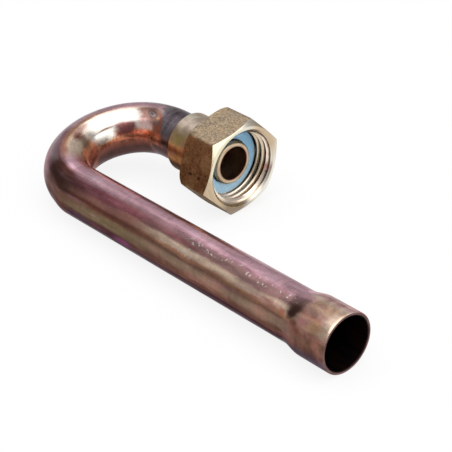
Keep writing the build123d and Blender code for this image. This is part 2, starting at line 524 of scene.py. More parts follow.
def add_node(tree, kind, inputs, **settings):
    """A new node's outputs. Its inputs are given by name or number, as sockets or values."""
    node = tree.nodes.new(kind)
    for name, value in settings.items():
        setattr(node, name, value)
    for name, value in inputs.items():
        feed(tree, value, node.inputs[name])
    return node.outputs


def feed(tree, value, socket):
    if isinstance(value, bpy.types.NodeSocket):
        tree.links.new(value, socket)
    else:
        socket.default_value = value


class Nodes:
    """Short names for the nodes of one material on a round piece.

    along is the distance along the axis and radius the distance from it, in millimetres.
    turn is in degrees, with 0 on the outside of the bend and 90 on the side that lies on top.
    """

    def __init__(self, name, roughness, metallic=1.0, edge=(1.0, 1.0, 1.0)):
        self.material = bpy.data.materials.new(name)
        self.material.use_nodes = True
        self.tree = self.material.node_tree
        self.finish({"Roughness": roughness, "Metallic": metallic, "Specular Tint": (*edge, 1.0)})
        self.place = self.node("ShaderNodeAttribute", {}, attribute_name="place")["Vector"]
        distance, outward, upward = self.node("ShaderNodeSeparateXYZ", {0: self.place})
        self.along = self.math("DIVIDE", distance, MM)
        self.turn = self.math("DEGREES", self.math("ARCTAN2", upward, outward))
        self.radius = self.math("DIVIDE", self.length(outward, upward), MM)

    def node(self, kind, inputs, **settings):
        return add_node(self.tree, kind, inputs, **settings)

    def finish(self, inputs):
        """Sockets or values for the shader's own inputs."""
        shader = self.tree.nodes["Principled BSDF"]
        for name, value in inputs.items():
            feed(self.tree, value, shader.inputs[name])

    def math(self, operation, *values):
        inputs = dict(enumerate(values))
        return self.node("ShaderNodeMath", inputs, operation=operation)["Value"]

    def length(self, first, second, power=2):
        first = self.math("POWER", first, power)
        second = self.math("POWER", second, power)
        return self.math("POWER", self.math("ADD", first, second), 1 / power)

    def noise(self, scale, detail=3.0, distortion=0.0, roughness=0.5, seed=0.0, vector=None):
        """Noise of the place, with this many waves in a metre each way."""
        inputs = {0: vector or self.place, 1: scale, 2: (seed, seed, seed)}
        waves = self.node("ShaderNodeVectorMath", inputs, operation="MULTIPLY_ADD")["Vector"]
        inputs = {"Vector": waves, "Scale": 1.0, "Detail": detail}
        inputs |= {"Distortion": distortion, "Roughness": roughness}
        return self.node("ShaderNodeTexNoise", inputs)["Fac"]

    def turned_lines(self, scale):
        """Noise that runs round the axis in fine lines, with this many waves in a millimetre."""
        inputs = {0: self.along, 1: self.radius, 2: self.math("MULTIPLY", self.turn, LINE_DRIFT)}
        profile = self.node("ShaderNodeCombineXYZ", inputs)["Vector"]
        return self.noise((scale, scale, 1), 4, vector=profile)

    def dots(self, length, width, reach):
        """Scattered oval marks, one to a cell of this many millimetres and degrees."""
        along = self.math("MULTIPLY", self.along, 1 / length)
        turn = self.math("DIVIDE", self.turn, width)
        cells = self.node("ShaderNodeCombineXYZ", {0: along, 1: turn})["Vector"]
        dots = self.node("ShaderNodeTexVoronoi", {"Vector": cells, "Scale": 1.0})
        return self.band(dots["Distance"], reach, reach * DOT_CORE)

    def ramp(self, value, stops):
        """Colour ramp with stops given as (position, colour)."""
        node = self.tree.nodes.new("ShaderNodeValToRGB")
        feed(self.tree, value, node.inputs["Fac"])
        elements = node.color_ramp.elements
        while len(elements) < len(stops):
            elements.new(0.5)
        for element, (position, colour) in zip(elements, stops):
            element.position = position
            element.color = (*colour, 1.0)
        return node.outputs["Color"]

    def around(self, stops):
        """Colours round the axis, given as (turn, colour) from -180 to 180."""
        share = self.math("MULTIPLY_ADD", self.turn, 1 / 360, 0.5)
        return self.ramp(share, [((turn + 180) / 360, colour) for turn, colour in stops])

    def band(self, value, low, high, to_low=0.0, to_high=1.0):
        """A value mapped from low..high to another range, clamped, with a smooth start and end."""
        inputs = {"Value": value, "From Min": low, "From Max": high}
        inputs |= {"To Min": to_low, "To Max": to_high}
        return self.node("ShaderNodeMapRange", inputs, interpolation_type="SMOOTHSTEP")["Result"]

    def within(self, value, start, end, edge):
        """1 between start and end, fading to 0 over an edge on each side."""
        rise = self.band(value, start - edge, start)
        return self.math("MULTIPLY", rise, self.band(value, end + edge, end))

    def mix(self, share, first, second):
        node = self.tree.nodes.new("ShaderNodeMix")
        node.data_type = "RGBA"
        feed(self.tree, share, node.inputs["Factor"])
        sockets = [socket for socket in node.inputs if socket.type == "RGBA"]
        for colour, socket in zip((first, second), sockets):
            feed(self.tree, (*colour, 1.0) if isinstance(colour, tuple) else colour, socket)
        return [socket for socket in node.outputs if socket.type == "RGBA"][0]

    def shade(self, below, value, low, high, darkest, lightest):
        """A colour multiplied by a grey that follows a value, and may be over 1."""
        inputs = {0: below, "Scale": self.band(value, low, high, darkest, lightest)}
        return self.node("ShaderNodeVectorMath", inputs, operation="SCALE")["Vector"]

    def off_middle(self, value, middle, reach):
        """How far a value is from a middle, as a share of the reach."""
        offset = self.math("SUBTRACT", value, middle)
        return self.math("ABSOLUTE", self.math("DIVIDE", offset, reach))

    def stain(self, below, along, turn, length, width, colour, strength=1.0, soft=0.8, power=2):
        """A ragged patch of another colour, its middle at a distance and a turn.

        soft is the share of its reach over which it fades, and a high power makes it square.
        """
        far = self.off_middle(self.along, along, length / 2)
        off = self.off_middle(self.turn, turn, width / 2)
        reach = self.length(far, off, power)
        return self.mix(self.band(reach, 1.0, 1.0 - soft, 0.0, strength), below, colour)

    def stains(self, below, table):
        """Stains laid on each other, each given as the values that stain takes."""
        for stain in table:
            below = self.stain(below, *stain)
        return below

    def bump(self, height, strength, distance):
        inputs = {"Height": height, "Strength": strength, "Distance": distance}
        self.finish({"Normal": self.node("ShaderNodeBump", inputs)["Normal"]})

    def colour(self, value):
        self.finish({"Base Color": value})


def srgb(red, green, blue):
    """A colour written as screen values from 0 to 255, in linear light."""
    channels = [value / 255 for value in (red, green, blue)]
    return tuple(
        value / 12.92 if value <= 0.04045 else ((value + 0.055) / 1.055) ** 2.4
        for value in channels
    )


# Tarnish colours of the copper
SOOT = srgb(54, 38, 36)
COAL = srgb(78, 54, 50)
PLUM = srgb(66, 45, 50)
VIOLET = srgb(130, 78, 106)
UMBER = srgb(104, 74, 62)
OLIVE = srgb(114, 96, 72)
TAUPE = srgb(130, 107, 90)
DRAB = srgb(122, 90, 78)
RUST = srgb(122, 74, 62)
CHESTNUT = srgb(160, 96, 76)
CLAY = srgb(165, 116, 104)
BEIGE = srgb(232, 204, 180)
MAROON = srgb(152, 92, 100)
PUCE = srgb(156, 120, 118)
MAUVE = srgb(184, 138, 148)
ROSE = srgb(253, 203, 217)
BLUSH = srgb(236, 190, 200)
FLUSH = srgb(218, 152, 152)
SCARLET = srgb(206, 92, 66)
COPPER = srgb(214, 110, 70)
AMBER = srgb(201, 146, 116)
CREAM = srgb(249, 222, 200)
# The pearl colour below is used for painted highlights and glints.
HIGHLIGHT_PEARL = srgb(224, 216, 208)
SAGE = srgb(246, 232, 200)
LILAC = srgb(226, 206, 212)
GOLD = srgb(204, 158, 116)
APRICOT = srgb(240, 184, 146)
SHELL = srgb(255, 206, 199)
DUSK = srgb(150, 116, 106)
PUTTY = srgb(134, 102, 94)
PATCH = srgb(144, 92, 90)
STEEL = srgb(102, 88, 97)
SLATE = srgb(146, 138, 142)
INDIGO = srgb(64, 54, 84)
CORAL = srgb(192, 112, 84)
EMBER = srgb(222, 146, 116)
TAN = srgb(228, 164, 126)
TAWNY = srgb(196, 154, 132)
SAND = srgb(168, 139, 118)
SIENNA = srgb(114, 62, 50)
# The chalk colour below is a painted highlight.
PAINTED_HIGHLIGHT_WHITE = srgb(255, 250, 240)
TUBE_EDGE = (0.7, 0.66, 0.68)
# The low edge tint below is painted shade on the tube's lower side.
TUBE_SHADED_LOW_EDGE = (0.5, 0.45, 0.48)
TUBE_INNER_EDGE = (0.55, 0.3, 0.24)

# Colours of the tube's lip and bore
LIP_DARK = srgb(96, 68, 66)
LIP_LIGHT = srgb(122, 92, 88)
BORE_DARK = srgb(34, 26, 26)
BORE_RED = srgb(66, 40, 35)
BORE_SHORT_LEG = srgb(196, 156, 130)

# Colours of the brass
BONE = srgb(236, 214, 190)
STRAW = srgb(180, 150, 106)
MUSTARD = srgb(158, 140, 84)
TOFFEE = srgb(152, 104, 66)
BRONZE = srgb(136, 98, 66)
ASH = srgb(92, 80, 70)
BISCUIT = srgb(184, 164, 140)
IVORY = srgb(238, 232, 218)
LINEN = srgb(249, 232, 214)
EGGSHELL = srgb(240, 229, 198)
CAMEL = srgb(206, 184, 154)
FAWN = srgb(148, 130, 110)
# The loam colour below is painted shade in the thread beside the washer.
RECESS_SHADE = srgb(40, 32, 26)
WALNUT = srgb(94, 70, 50)
SPIGOT_DARK = srgb(190, 166, 140)
SPIGOT_LIGHT = srgb(210, 190, 160)
BROWN_BORE = srgb(172, 134, 114)
BRASS_EDGE = (0.55, 0.5, 0.45)

# Colours of the blue fibre
SKY = srgb(162, 218, 255)
PALE_SKY = srgb(186, 230, 255)
DEEP_SKY = srgb(112, 158, 216)

# Where one set of colours on the tube gives way to the next, in millimetres along it
NEAR_TO_FAR = (24, 42)
LEG_TO_JOINING = (5, -1)
JOINING_TO_START = (-5, -12)
START_TO_BRIGHT = (-20, -23.5)
LEG_TO_BELL = (85, 91)
BORE_TO_SHORT_LEG = (-48, -56)

# Tarnish of the tube, with painted highlights and painted shade where marked. The colours round it
# are (turn, colour), and the stains are (along, turn, length, width, colour, strength, soft,
# power), in millimetres and degrees.
# On both leg ramps the dark stops low down, from -60 to about 10 degrees, are partly tarnish and
# partly painted shade, darker than the pale floor that the lower side reflects.
LEG_NEAR_ROUND = [
    (-180, RUST), (-150, UMBER), (-110, UMBER), (-60, RUST), (-30, PLUM), (-6, PLUM),
    (3, COAL), (9, OLIVE), (26, OLIVE), (32, RUST), (38, RUST), (45, CLAY), (54, CLAY),
    (62, MAROON), (73, MAROON), (80, MAUVE), (92, ROSE), (110, ROSE), (119, FLUSH),
    (126, MAROON), (142, CHESTNUT), (160, MAROON), (180, RUST),
]
LEG_FAR_ROUND = [
    (-180, MAROON), (-140, DUSK), (-100, TAUPE), (-60, UMBER), (-30, PLUM), (-10, PLUM),
    (-4, UMBER), (8, UMBER), (17, TAUPE), (24, TAUPE), (33, DRAB), (41, AMBER), (46, BEIGE),
    (54, BEIGE), (61, PUCE), (76, PUCE), (84, MAUVE), (93, ROSE), (108, ROSE), (118, BLUSH),
    (130, BLUSH), (140, PUCE), (160, CLAY), (180, MAROON),
]
LEG_STAINS = [
    (26, -6, 11, 26, VIOLET, 0.9),
    (15, -4, 14, 18, MAROON, 0.3),
    (7, -8, 14, 24, INDIGO, 0.6),
    (44, 66, 26, 17, MAROON, 0.8),
    (66, 29, 14, 9, VIOLET, 0.4),
    (59, 34, 4, 10, TOFFEE, 0.7),
    (32, 25, 4, 14, OLIVE, 0.7),
    (49, 118, 30, 24, CORAL, 0.9),
    (46, 118, 5, 14, COPPER, 0.7),
    (8, 94, 10, 12, LILAC, 0.6),
    (78, 47, 14, 18, FLUSH, 0.5),
    (78, 48, 3, 10, COPPER, 0.4),
    (83, 45, 3.4, 14, SCARLET, 0.6),
]
JOINING_ROUND = [
    (-180, RUST), (-100, UMBER), (0, UMBER), (30, COAL), (80, RUST), (92, ROSE),
    (104, ROSE), (118, FLUSH), (130, FLUSH), (145, AMBER), (152, FLUSH), (164, SHELL),
    (172, SHELL), (180, RUST),
]
BEND_START_ROUND = [
    (-180, SIENNA), (-150, CHESTNUT), (-100, UMBER), (-50, MAROON), (0, CLAY), (30, PUCE),
    (50, MAUVE), (64, LILAC), (80, MAUVE), (92, AMBER), (104, CREAM), (132, CREAM),
    (140, AMBER), (148, TAN), (155, AMBER), (160, CORAL), (166, CHESTNUT), (173, CHESTNUT),
    (178, SIENNA), (180, SIENNA),
]
# Far part of the bend: tarnish, with a painted highlight in the pale stops from 99 to 147 degrees,
# over the lamps' reflection.
BEND_TARNISH_AND_HIGHLIGHT_ROUND = [
    (-180, RUST), (-165, COAL), (-150, COAL), (-100, UMBER), (-50, MAROON), (0, CLAY),
    (45, MAUVE), (62, LILAC), (72, LILAC), (84, BLUSH), (92, BLUSH), (99, CREAM),
    (105, HIGHLIGHT_PEARL), (147, HIGHLIGHT_PEARL), (153, AMBER), (158, EMBER), (164, APRICOT), (166, APRICOT),
    (169, CORAL), (176, RUST), (180, RUST),
]
BEND_STAINS = [
    (-25, 91, 24, 15, GOLD, 0.8),
    (-21.3, 105, 10, 32, DUSK, 0.9),
    (-36, 168, 16, 12, TAN, 0.25),
    # Painted highlight: the bend's second highlight, almost white.
    (-27.5, 152, 13, 34, PAINTED_HIGHLIGHT_WHITE, 1.0, 0.5, 3),
    (-18.3, 138, 7, 50, OLIVE, 0.7),
    (-13.5, 126, 5, 18, SAGE, 0.5),
    (-18.8, 115, 5.6, 54, RUST, 0.95, 0.95),
    (-11.5, 98, 5, 18, CLAY, 0.6),
    (0, 24, 26, 34, UMBER, 0.9),
    (-1, 62, 36, 60, COAL, 0.8, 0.9),
    (-3.5, 51, 9, 26, SOOT, 0.4),
    # Painted shade: the dark line between the bend's two highlights.
    (-29, 139.5, 14, 7, DUSK, 1.0),
    (-36.9, 149, 9.6, 35, PATCH, 1.0, 0.5, 4),
    (-49, 118, 17, 60, PUTTY, 1.0, 0.4, 4),
    (-52, 146, 10, 34, CHESTNUT, 1.0, 0.5, 3),
    (-44.8, 142, 10, 42, SHELL, 0.95, 0.9),
    (-49.6, 156, 9, 13, CHESTNUT, 0.9),
]
HEAT_STAINS = [
    # Painted highlight: a pale strip on the heat band's upper side.
    (-50.6, 66, 4, 50, HIGHLIGHT_PEARL, 0.35),
    (-50.0, 119, 2.4, 12, GOLD, 0.7),
    (-47.3, 113, 4.2, 28, COAL, 0.9, 0.6),
    (-47.3, 114, 2.8, 20, SLATE, 0.7, 0.7),
    (-47.2, 113, 1.5, 11, PLUM, 0.7, 0.7),
]
# The dark stops low on the bell, from -60 to 4 degrees, are partly tarnish and partly painted
# shade, as on the leg.
BELL_ROUND = [
    (-180, DUSK), (-120, TAUPE), (-60, COAL), (-12, STEEL), (4, UMBER), (28, UMBER),
    (34, CLAY), (40, TAWNY), (55, TAWNY), (60, CLAY), (66, DUSK), (72, DUSK), (82, SAND),
    (92, TAWNY), (100, BEIGE), (108, SHELL), (120, SHELL), (140, CLAY), (180, DUSK),
]
BELL_STAINS = [
    (90.3, 47, 4.4, 24, FLUSH, 0.9),
    (97, 48, 6, 26, BEIGE, 0.5),
    (94.5, 50, 5, 30, GOLD, 0.6),
    (92.0, 88, 3.5, 16, PUCE, 0.4),
    (89.5, 27, 4, 22, RUST, 0.7),
    (88.2, 38, 3, 18, RUST, 0.8),
    (96.5, 22, 3.5, 30, CHESTNUT, 0.15),
    # Painted highlight: a pale patch beside the bell's lip.
    (99, 68, 9, 90, CREAM, 0.8, 0.9),
    # Painted shade: the dark cloud on the bell's shoulder, where its hollow flank reflects dark
    # surroundings.
    (88, 66, 6, 30, UMBER, 0.5),
    (86.2, 55, 5.6, 44, UMBER, 1.0, 0.7),
    (86.4, 60, 5.0, 30, COAL, 0.7),
    (86.0, 51, 4.4, 30, COAL, 0.9),
]
CROOK_EDGE_STAIN = (-10, 178, 22, 40, TUBE_INNER_EDGE)
CROOK_ROUGHNESS = 0.6

# Scratches on the long leg, painted bright as glints, as (along, turn, length, width, strength),
# and the cell and the reach of one of their marks
GLINTING_SCRATCHES = [(62, 79, 28, 12, 0.9), (80, 78, 8, 12, 0.7), (47, 50, 6, 14, 0.9)]
SCRATCH_MARK = (0.8, 15, 0.36)

# How far the edges of the tarnish wander, in millimetres along the tube, and in degrees
# round it on the bend and on the long leg
RAGGED_ALONG = 5.0
SLOW_ALONG = 6.0
STREAKY_TURN = (7.0, 16.0)
SLOW_TURN = (5.0, 16.0)


class Tube(Nodes):
    """Nodes of a material on the tube, whose tarnish has wandering and ragged edges."""

    def __init__(self, name, roughness):
        super().__init__(name, roughness, edge=TUBE_EDGE)
        slow = self.math("SUBTRACT", self.noise((26, 110, 110), 2, seed=3), 0.5)
        ragged = self.math("SUBTRACT", self.noise((170, 330, 330), 4, roughness=0.6), 0.5)
        streaky = self.noise((70, 420, 420), 4, roughness=0.7, seed=8)
        streaky = self.math("SUBTRACT", streaky, 0.5)
        self.along = self.math("MULTIPLY_ADD", ragged, RAGGED_ALONG, self.along)
        self.along = self.math("MULTIPLY_ADD", slow, SLOW_ALONG, self.along)
        leg = self.within(self.along, 0, 82, 5)
        streaky_turn = self.band(leg, 0, 1, *STREAKY_TURN)
        self.turn = self.math("MULTIPLY_ADD", streaky, streaky_turn, self.turn)
        slow_turn = self.band(leg, 0, 1, *SLOW_TURN)
        self.turn = self.math("MULTIPLY_ADD", slow, slow_turn, self.turn)

    def glinting_scratches(self, below, along, turn, length, width, strength):
        """Short scratches across the tube, scattered over a stretch of it, painted bright as
        glints.
        """
        there = self.math(
            "MULTIPLY",
            self.within(self.along, along - length / 2, along + length / 2, 3),
            self.within(self.turn, turn - width / 2, turn + width / 2, 4),
        )
        marks = self.math("MULTIPLY", there, self.dots(*SCRATCH_MARK))
        return self.mix(self.math("MULTIPLY", marks, strength), below, HIGHLIGHT_PEARL)


# The long leg's tarnish, with painted shade on its lower side.
def leg_tarnish_and_shade(nodes):
    near = nodes.around(LEG_NEAR_ROUND)
    far = nodes.around(LEG_FAR_ROUND)
    colour = nodes.mix(nodes.band(nodes.along, *NEAR_TO_FAR), near, far)
    return nodes.stains(colour, LEG_STAINS)


# The bend's tarnish, with painted highlights and a painted dark line between them.
def bend_tarnish_and_painted_light(nodes, below):
    joining = nodes.around(JOINING_ROUND)
    start = nodes.around(BEND_START_ROUND)
    bright = nodes.around(BEND_TARNISH_AND_HIGHLIGHT_ROUND)
    colour = nodes.mix(nodes.band(nodes.along, *LEG_TO_JOINING), below, joining)
    colour = nodes.mix(nodes.band(nodes.along, *JOINING_TO_START), colour, start)
    colour = nodes.mix(nodes.band(nodes.along, *START_TO_BRIGHT), colour, bright)
    return nodes.stains(colour, BEND_STAINS)


def heat_tint_and_highlight(nodes, below):
    """Grey purple scale beside the brazed joint, with an orange fringe, a burnt drop, and a
    painted highlight on its upper side.
    """
    slant = nodes.math("MULTIPLY_ADD", nodes.band(nodes.turn, 96, 134), 4.2, nodes.along)
    streaks = nodes.noise((520, 130, 130), 4)
    steel = nodes.ramp(streaks, [(0.3, STEEL), (0.75, SLATE)])
    steel = nodes.mix(nodes.band(nodes.turn, 84, 50, 0.0, 0.8), steel, SLATE)
    steel = nodes.mix(nodes.band(nodes.turn, 125, 180), steel, COAL)
    steel = nodes.mix(nodes.band(nodes.turn, 20, -60), steel, COAL)
    round_the_back = nodes.band(nodes.turn, 50, 20, 0.0, 0.6)
    fringe = nodes.math("MAXIMUM", nodes.within(nodes.turn, 112, 150, 8), round_the_back)
    ring = nodes.math("MULTIPLY", nodes.within(slant, -50.6, -49.0, 1.2), fringe)
    colour = nodes.mix(ring, below, CHESTNUT)
    colour = nodes.mix(nodes.band(slant, -48.8, -50.6), colour, steel)
    return nodes.stains(colour, HEAT_STAINS)


# The bell's tarnish, with a painted highlight by its lip and painted shade on its shoulder.
def bell_tarnish_and_painted_light(nodes, below):
    mottle = nodes.noise((260, 330, 330), 5, 0.3, roughness=0.55, seed=7)
    bell = nodes.shade(nodes.around(BELL_ROUND), mottle, 0.38, 0.62, 0.72, 1.17)
    pink = nodes.noise((170, 170, 170), 2, seed=11)
    bell = nodes.mix(nodes.math("MULTIPLY", nodes.band(pink, 0.52, 0.66), 0.36), bell, CLAY)
    colour = nodes.mix(nodes.band(nodes.along, *LEG_TO_BELL), below, bell)
    return nodes.stains(colour, BELL_STAINS)


def warm_patches(nodes, below):
    """Clay coloured patches low on the far part of the long leg."""
    warm = nodes.band(nodes.noise((130, 260, 260), 3, seed=21), 0.5, 0.64)
    lower = nodes.within(nodes.turn, 6, 58, 8)
    far = nodes.within(nodes.along, 34, 84, 8)
    patches = nodes.math("MULTIPLY", warm, nodes.math("MULTIPLY", lower, far))
    return nodes.mix(nodes.math("MULTIPLY", patches, 0.45), below, CLAY)


def brushed_inner_side(nodes, below):
    """Fine grain on the inner side of the bend."""
    grain = nodes.noise((900, 1500, 1500), 3, roughness=0.7, seed=17)
    on_bend = nodes.band(nodes.along, -4, -12)
    inner = nodes.math("MULTIPLY", on_bend, nodes.band(nodes.turn, 150, 164))
    return nodes.mix(inner, below, nodes.shade(below, grain, 0.36, 0.64, 0.7, 1.3))


def leg_smears(nodes, below):
    """Long smears on the long leg, some of them browner and some pinker."""
    smears = nodes.noise((45, 420, 420), 4, roughness=0.6, seed=13)
    on_leg = nodes.math("MULTIPLY", nodes.within(nodes.along, 0, 84, 6), 0.25)
    brown = nodes.math("MULTIPLY", nodes.band(smears, 0.5, 0.64), on_leg)
    pink = nodes.math("MULTIPLY", nodes.band(smears, 0.48, 0.36), on_leg)
    return nodes.mix(pink, nodes.mix(brown, below, TAUPE), MAUVE)


def tube_edge(nodes):
    """Grazing reflections, darkened low down by the bend's start as painted shade, and redder in
    the crook.
    """
    start = nodes.band(nodes.along, -14, -6)
    low = nodes.math("MULTIPLY", start, nodes.within(nodes.turn, -100, 6, 20))
    return nodes.stain(nodes.mix(low, TUBE_EDGE, TUBE_SHADED_LOW_EDGE), *CROOK_EDGE_STAIN)


def tube_roughness(nodes):
    """Streaks that are a little duller than the rest, and a dull crook of the bend."""
    above, under = nodes.band(nodes.turn, 142, 153), nodes.band(nodes.turn, -160, -176)
    side = nodes.math("MAXIMUM", above, under)
    crook = nodes.math("MULTIPLY", nodes.within(nodes.along, -20, -4, 4), side)
    streaks = nodes.band(nodes.noise((120, 500, 500), 4), 0.3, 0.7, 0.2, 0.36)
    return nodes.math("MAXIMUM", streaks, nodes.math("MULTIPLY", crook, CROOK_ROUGHNESS))


def copper_outside():
    nodes = Tube("tarnished_copper", roughness=0.27)
    colour = bend_tarnish_and_painted_light(nodes, leg_tarnish_and_shade(nodes))
    colour = bell_tarnish_and_painted_light(nodes, heat_tint_and_highlight(nodes, colour))
    cloud = nodes.noise((110, 300, 300), 4, roughness=0.6, seed=5)
    colour = nodes.shade(colour, cloud, 0.34, 0.64, 0.84, 1.14)
    colour = brushed_inner_side(nodes, warm_patches(nodes, colour))
    colour = leg_smears(nodes, colour)
    across = nodes.noise((900, 190, 190), 4, roughness=0.6)
    colour = nodes.shade(colour, across, 0.3, 0.7, 0.93, 1.08)
    for scratched in GLINTING_SCRATCHES:
        colour = nodes.glinting_scratches(colour, *scratched)
    nodes.colour(colour)
    nodes.finish({"Specular Tint": tube_edge(nodes), "Roughness": tube_roughness(nodes)})
    nodes.bump(nodes.noise((900, 2200, 2200), 5), strength=0.15, distance=0.08 * MM)
    return nodes.material


def copper_lip():
    nodes = Nodes("cut_copper_lip", roughness=0.32)
    noise = nodes.noise((600, 600, 600), 3)
    nodes.colour(nodes.ramp(noise, [(0.35, LIP_DARK), (0.65, LIP_LIGHT)]))
    return nodes.material


def copper_inside():
    nodes = Nodes("copper_inside", roughness=0.5)
    noise = nodes.noise((100, 400, 400), 4)
    colour = nodes.ramp(noise, [(0.45, BORE_DARK), (0.7, BORE_RED)])
    short_leg = nodes.band(nodes.along, *BORE_TO_SHORT_LEG)
    nodes.colour(nodes.mix(short_leg, colour, BORE_SHORT_LEG))
    return nodes.material


# Tints of the brass and the fibre, in the same form as those of the tube
COLLAR_ROUND = [
    (-180, TOFFEE), (-170, COAL), (-150, SOOT), (-90, ASH), (-40, STRAW), (0, BISCUIT),
    (60, LINEN), (104, LINEN), (120, BISCUIT), (134, STRAW), (152, STRAW), (168, TOFFEE),
    (180, TOFFEE),
]
COLLAR_STAINS = [
    (10.5, 140, 6, 30, MUSTARD, 0.7),
    (8.5, 164, 5, 20, AMBER, 0.4),
    (13.5, 150, 5, 30, BRONZE, 0.5),
]
# Painted highlights and shade round the nut's cut faces.
FACE_HIGHLIGHT_ROUND = [
    (-180, CAMEL), (-150, CAMEL), (-130, FAWN), (-104, FAWN), (-76, IVORY), (-20, IVORY),
    (10, CAMEL), (50, CAMEL), (74, IVORY), (110, EGGSHELL), (156, EGGSHELL), (172, CAMEL),
    (180, CAMEL),
]
GROOVE_ROUND = [
    (-180, CAMEL), (-80, BONE), (-50, WALNUT), (60, WALNUT), (90, ASH), (180, CAMEL),
]
FLAT_SHADE_TONES = [WALNUT, STRAW, BISCUIT, BRONZE, BISCUIT, BRONZE]
FLAT_SHADOW = (17.5, 128, 9, 20, BRONZE, 0.5)
FLAT_PITS = [
    (21.0, 169.5, 2.2, 6, SOOT, 0.9),
    (24.4, 170.3, 1.5, 6, SOOT, 0.9),
    (22.6, 168.0, 1.2, 3, SOOT, 0.8),
]
THREAD_SPOT = (27.7, -36.6, 1.6, 6, SOOT, 0.9)
# Painted light and shade on the washer: darker on top, paler low down.
FIBRE_SHADE_ROUND = [
    (-180, SKY), (-120, PALE_SKY), (-60, PALE_SKY), (-10, SKY), (50, SKY), (100, DEEP_SKY),
    (180, SKY),
]
FIBRE_FINISH = {
    "Coat Weight": 0.3,
    "Coat Roughness": 0.4,
    "Sheen Weight": 1.0,
    "Sheen Tint": (0.7, 0.87, 1.0, 1.0),
}

# Degrees between two corners of the nut, and over which its flats' tones meet at a corner
FLAT_TURN = 60
TONE_BLEND = 2

# Millimetres by which the edge of the sealant in the thread wanders
SEALANT_RAGGED = 0.4


def turned_brass():
    """The collar, brown and green from the torch, and the clean flange and spigot."""
    nodes = Nodes("turned_brass", roughness=0.32, edge=BRASS_EDGE)
    collar = nodes.stains(nodes.around(COLLAR_ROUND), COLLAR_STAINS)
    mottle = nodes.noise((320, 320, 320), 4, 0.4, seed=2)
    collar = nodes.shade(collar, mottle, 0.36, 0.64, 0.78, 1.16)
    blotches = nodes.band(nodes.noise((230, 230, 230), 3, seed=9), 0.46, 0.6)
    collar = nodes.mix(nodes.math("MULTIPLY", blotches, 0.25), collar, CLAY)
    spigot = nodes.ramp(mottle, [(0.4, SPIGOT_DARK), (0.6, SPIGOT_LIGHT)])
    colour = nodes.mix(nodes.band(nodes.along, 18.0, 18.6), collar, spigot)
    bore = nodes.mix(nodes.band(nodes.along, 20, 24), BONE, BROWN_BORE)
    colour = nodes.mix(nodes.band(nodes.radius, 5.1, 4.9), colour, bore)
    nodes.colour(nodes.shade(colour, nodes.turned_lines(3.0), 0.3, 0.7, 0.92, 1.06))
    nodes.bump(nodes.turned_lines(6.0), strength=0.06, distance=0.05 * MM)
    return nodes.material


def filler():
    nodes = Nodes("filler_metal", roughness=0.35)
    nodes.colour(nodes.ramp(nodes.noise((500, 500, 500), 3), [(0.4, UMBER), (0.6, TAUPE)]))
    nodes.bump(nodes.noise((900, 900, 900), 3), strength=0.3, distance=0.15 * MM)
    return nodes.material


def fibre():
    nodes = Nodes("blue_fibre", roughness=0.85, metallic=0.0)
    nodes.finish(FIBRE_FINISH)
    grain = nodes.noise((2600, 2600, 2600), 4)
    # Painted shade: the washer is darker on top, where the nut shades it, and paler low down.
    toned = nodes.shade(nodes.around(FIBRE_SHADE_ROUND), grain, 0.35, 0.65, 0.9, 1.08)
    nodes.colour(nodes.shade(toned, nodes.noise((200, 200, 200), 2), 0.35, 0.65, 0.94, 1.04))
    nodes.bump(grain, strength=0.3, distance=0.1 * MM)
    return nodes.material


def flat_stops():
    """Colours round the nut, with a tone of its own on each of its six flats, as painted light and
    shade.
    """
    first_corner = math.degrees(NUT_TURN) - 5 * FLAT_TURN
    last_corner = first_corner + 5 * FLAT_TURN
    *tones, last_tone = FLAT_SHADE_TONES
    stops = [(-180, last_tone), (first_corner - TONE_BLEND, last_tone)]
    for number, tone in enumerate(tones):
        corner = first_corner + FLAT_TURN * number
        stops += [(corner + TONE_BLEND, tone), (corner + FLAT_TURN - TONE_BLEND, tone)]
    return stops + [(last_corner + TONE_BLEND, last_tone), (180, last_tone)]


def pressed_brass():
    """Hot-pressed flats with a coarse grain and a few dark pits, painted lighter or darker flat by
    flat, and a painted shadow.
    """
    nodes = Nodes("pressed_brass", roughness=0.45, edge=BRASS_EDGE)
    grain = nodes.noise((1700, 1700, 1700), 5, roughness=0.7)
    cloud = nodes.noise((260, 260, 260), 3)
    colour = nodes.shade(nodes.around(flat_stops()), grain, 0.34, 0.66, 0.58, 1.36)
    colour = nodes.shade(colour, cloud, 0.35, 0.65, 0.88, 1.08)
    colour = nodes.stain(colour, *FLAT_SHADOW)
    colour = nodes.mix(nodes.math("MULTIPLY", nodes.band(cloud, 0.5, 0.62), 0.3), colour, STRAW)
    nodes.colour(nodes.stains(colour, FLAT_PITS))
    nodes.bump(grain, strength=0.6, distance=0.3 * MM)
    return nodes.material


def machined_brass():
    """The nut's bright cut faces, with painted highlights and shade round them, and a ragged burr
    on a stretch of its mouth.
    """
    nodes = Nodes("machined_brass", roughness=0.26)
    mouth_radius = NUT_MOUTH / MM
    mouth = nodes.within(nodes.radius, mouth_radius - 0.5, mouth_radius + 0.1, 0.3)
    burr = nodes.math("MULTIPLY", mouth, nodes.within(nodes.turn, -128, -104, 4))
    ragged = nodes.band(nodes.noise((900, 900, 900), 4, seed=4), 0.44, 0.58)
    face = nodes.mix(nodes.math("MULTIPLY", burr, ragged), nodes.around(FACE_HIGHLIGHT_ROUND), STRAW)
    nodes.colour(nodes.shade(face, nodes.turned_lines(4.0), 0.3, 0.7, 0.9, 1.05))
    nodes.bump(nodes.turned_lines(5.0), strength=0.1, distance=0.06 * MM)
    return nodes.material


